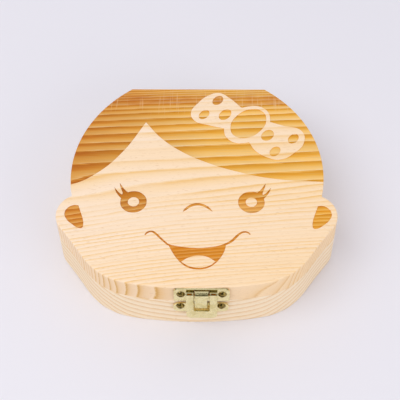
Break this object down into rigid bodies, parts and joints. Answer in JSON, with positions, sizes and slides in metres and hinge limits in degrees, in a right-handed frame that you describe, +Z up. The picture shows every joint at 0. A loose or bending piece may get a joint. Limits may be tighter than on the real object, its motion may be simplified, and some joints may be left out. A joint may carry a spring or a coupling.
{
  "type": "keepsake box",
  "caption": "Flat wooden keepsake box for milk teeth, cut to the outline of a child's head, with a hinged lid, a hasp latch and a ring of tooth wells inside.",
  "frame": {"origin": "on the floor under the box, at the middle of the boards' width and depth", "axes": "+X to the right as the face looks at the viewer, +Y towards the hinges, +Z up"},
  "size_m": [0.1302, 0.1243, 0.0305],
  "materials": {
    "pale_wood": "bare sanded pine with burnt drawing on the lid",
    "brass": "pale brass plating, satin",
    "dark_brass": "pale brass plating, recesses dark"
  },
  "bodies": {
    "base": {"base_board": "pale_wood", "hinge_left_base_leaf": "brass", "hinge_right_base_leaf": "brass", "hinge_left_pin": "brass", "hinge_right_pin": "brass", "hinge_base_screws": "brass", "latch_base_plate": "brass", "latch_base_screws": "dark_brass"},
    "lid": {"lid_board": "pale_wood", "hinge_left_lid_leaf": "brass", "hinge_right_lid_leaf": "brass", "hinge_lid_screws": "brass", "latch_lid_plate": "brass", "latch_lid_screws": "dark_brass", "latch_pin": "brass"},
    "flap": {"latch_flap": "brass"}
  },
  "joints": [
    {"name": "lid_hinge", "type": "hinge", "parent": "base", "child": "lid", "pos_m": [0, 0.06032, 0.019], "axis": [-1, 0, 0], "range_deg": [0, 180]},
    {"name": "latch_hinge", "type": "hinge", "parent": "lid", "child": "flap", "pos_m": [0.0028, -0.06082, 0.0285], "axis": [-1, 0, 0], "range_deg": [0, 165]}
  ]
}
